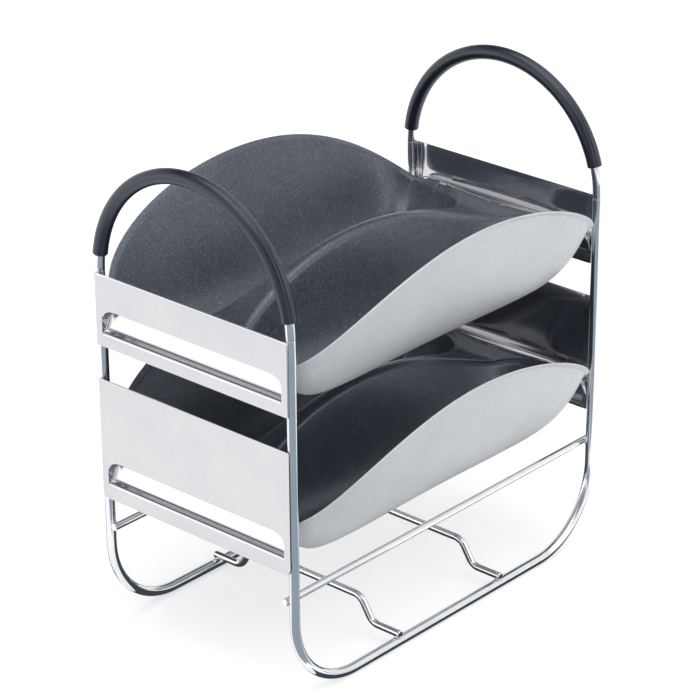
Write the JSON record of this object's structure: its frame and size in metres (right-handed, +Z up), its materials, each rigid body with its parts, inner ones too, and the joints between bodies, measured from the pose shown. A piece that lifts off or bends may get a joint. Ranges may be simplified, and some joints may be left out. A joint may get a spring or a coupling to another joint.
{
  "type": "bread machine baguette rack with double trough trays",
  "caption": "Bent-rod rack with arched sleeved handles and ribbed end panels that carry stacked double-trough baguette trays, which slide in from the side.",
  "frame": {"origin": "on the floor under the middle of the rack (bottom centre of the bounding box)", "axes": "+Z up; Y along the troughs, from the near end (-Y) to the far end (+Y); X across, the way the trays slide"},
  "size_m": [0.1654, 0.2374, 0.2605],
  "materials": {
    "frame_rod": "polished",
    "thin_wire": "polished",
    "panel_steel": "bright, nearly mirror polished",
    "sleeve_rubber": "satin",
    "tray_coating": "fine speckled non-stick coating, silver-grey outside and dark grey inside"
  },
  "bodies": {
    "rack": {"right_side_rod": "frame_rod", "right_side_wire": "thin_wire", "left_side_rod": "frame_rod", "left_side_wire": "thin_wire", "near_cross_wire": "thin_wire", "near_handle_rod": "frame_rod", "near_handle_sleeve": "sleeve_rubber", "near_upper_panel": "panel_steel", "near_lower_panel": "panel_steel", "far_cross_wire": "thin_wire", "far_handle_rod": "frame_rod", "far_handle_sleeve": "sleeve_rubber", "far_upper_panel": "panel_steel", "far_lower_panel": "panel_steel"},
    "upper_tray": {"upper_tray": "tray_coating"},
    "lower_tray": {"lower_tray": "tray_coating"}
  },
  "joints": [
    {"name": "upper_tray_slide", "type": "slide", "parent": "rack", "child": "upper_tray", "axis": [1, 0, 0], "range_m": [-0.055, 0.055]},
    {"name": "lower_tray_slide", "type": "slide", "parent": "rack", "child": "lower_tray", "axis": [1, 0, 0], "range_m": [-0.055, 0.055]}
  ]
}
